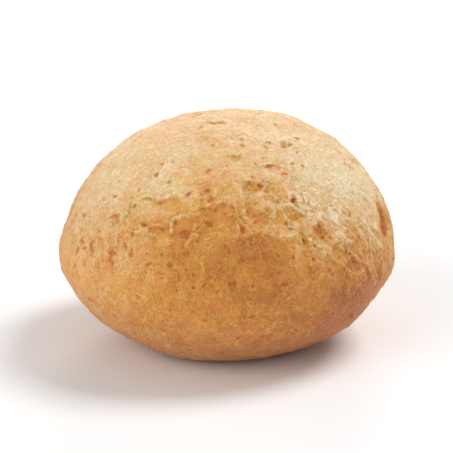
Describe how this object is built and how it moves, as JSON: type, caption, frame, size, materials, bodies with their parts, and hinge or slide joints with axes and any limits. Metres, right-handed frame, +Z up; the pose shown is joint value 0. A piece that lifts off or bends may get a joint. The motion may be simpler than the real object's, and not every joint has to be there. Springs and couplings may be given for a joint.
{
  "type": "cheese bread ball",
  "caption": "Baked cheese dough ball, slightly flattened with a flat foot, pale crust with small cheese pits and splits, golden low down. One solid piece of food.",
  "frame": {"origin": "middle of the box around the ball at the height of its flat foot", "axes": "+Z up from the flat foot to the crown, +X to the right along the widest way across, and the front with the browned patch faces -Y"},
  "size_m": [0.06, 0.058, 0.041],
  "materials": {
    "crust": "matte, slightly leathery baked crust: cream on top, golden brown towards the foot, with yellow-orange cheese pits"
  },
  "bodies": {
    "root": {"cheese_ball": "crust"}
  },
  "joints": []
}
